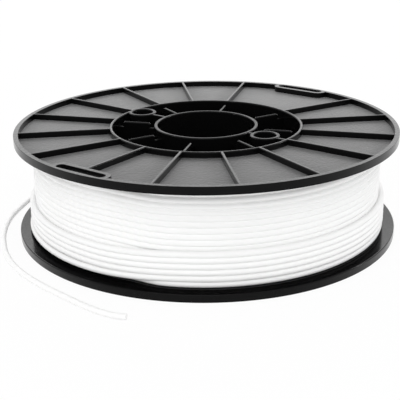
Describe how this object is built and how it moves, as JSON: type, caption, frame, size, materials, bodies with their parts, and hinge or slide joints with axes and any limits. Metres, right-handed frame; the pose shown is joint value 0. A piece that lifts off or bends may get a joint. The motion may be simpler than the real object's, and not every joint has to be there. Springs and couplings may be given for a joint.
{
  "type": "filament spool",
  "caption": "Black ribbed plastic reel lying flat, wound with white filament in level layers, with a loose end that drops off the winding and curls round the reel on the surface.",
  "frame": {"origin": "middle of the lower flange's outer face, on the reel's axis, on the surface that the reel lies on", "axes": "+Z along the reel's axis, up; X through the filament slots of the upper flange; the drive holes lie on the Y axis, the one further from the bore on +Y"},
  "size_m": [0.218, 0.2089, 0.055],
  "materials": {
    "reel_plastic": "semi-gloss moulded black plastic with a very fine grain",
    "filament_plastic": "satin extruded white plastic"
  },
  "bodies": {
    "root": {"upper_flange": "reel_plastic", "lower_flange": "reel_plastic", "core_barrel": "reel_plastic", "bore_tube": "reel_plastic", "hub_ribs": "reel_plastic", "far_drive_tube": "reel_plastic", "near_drive_tube": "reel_plastic", "filament_inner_layers": "filament_plastic", "filament_outer_turns": "filament_plastic", "filament_free_end": "filament_plastic"}
  },
  "joints": []
}
